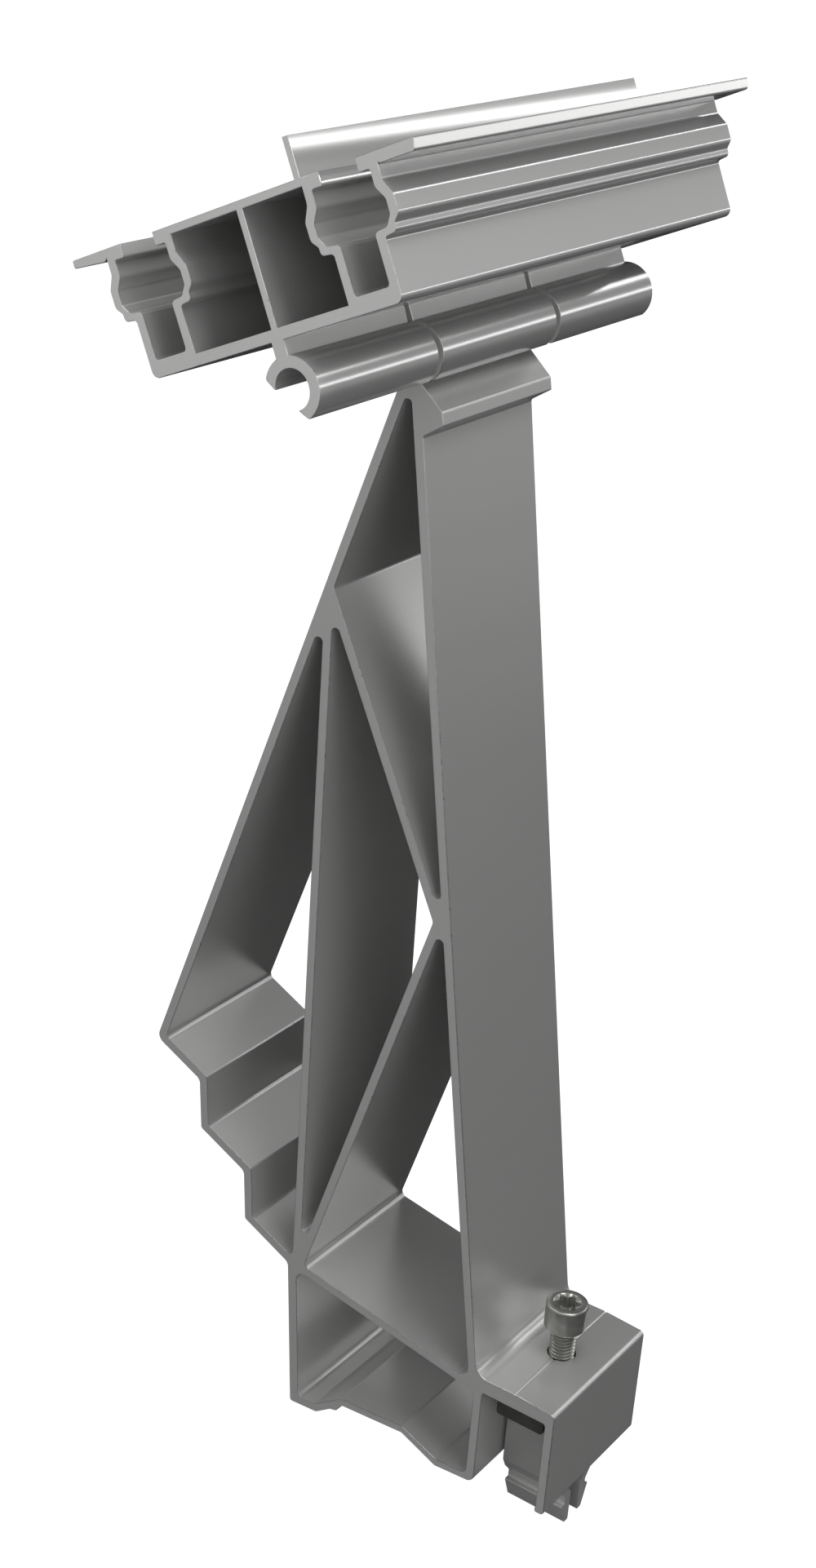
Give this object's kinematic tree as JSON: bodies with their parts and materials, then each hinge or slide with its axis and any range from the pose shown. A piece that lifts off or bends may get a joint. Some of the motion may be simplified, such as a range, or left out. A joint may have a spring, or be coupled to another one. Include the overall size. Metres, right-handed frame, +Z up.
{
  "type": "flat roof solar mount bracket",
  "caption": "Extruded aluminium truss tower for flat roofs, with a tilting channelled module support on its bead and a bolted rail clip at its foot.",
  "frame": {"origin": "centre of the sole under the back wall, in the middle of the tower's width, at the height of the soles", "axes": "+X from the stepped back to the clamp flange, +Y along the extrusions and the tilt axis, +Z up from the soles to the module plane"},
  "size_m": [0.1501, 0.16, 0.4299],
  "materials": {
    "tower": "mill finish extrusion, fine draw lines along Y, sawn ends",
    "support": "mill finish extrusion, brighter than the tower, sawn ends",
    "bolt": "dark zinc, satin",
    "clip": "mill finish extrusion, sawn ends",
    "plate": "dark coated steel, matt"
  },
  "bodies": {
    "tower": {"tower": "tower"},
    "support": {"module_support": "support"},
    "bolt": {"clamp_bolt": "bolt"},
    "clamp": {"rail_clip": "clip", "nut_plate": "plate"}
  },
  "joints": [
    {"name": "support_tilt", "type": "hinge", "parent": "tower", "child": "support", "pos_m": [0.04253, 0, 0.348], "axis": [0, -1, 0], "range_deg": [-15.3, 9.7]},
    {"name": "bolt_drive", "type": "slide", "parent": "tower", "child": "bolt", "axis": [0.0785, 0, 0.9969], "range_m": [-0.0099, 0]},
    {"name": "clip_lift", "type": "slide", "parent": "tower", "child": "clamp", "axis": [0.0785, 0, 0.9969], "range_m": [0, 0.0038]}
  ]
}
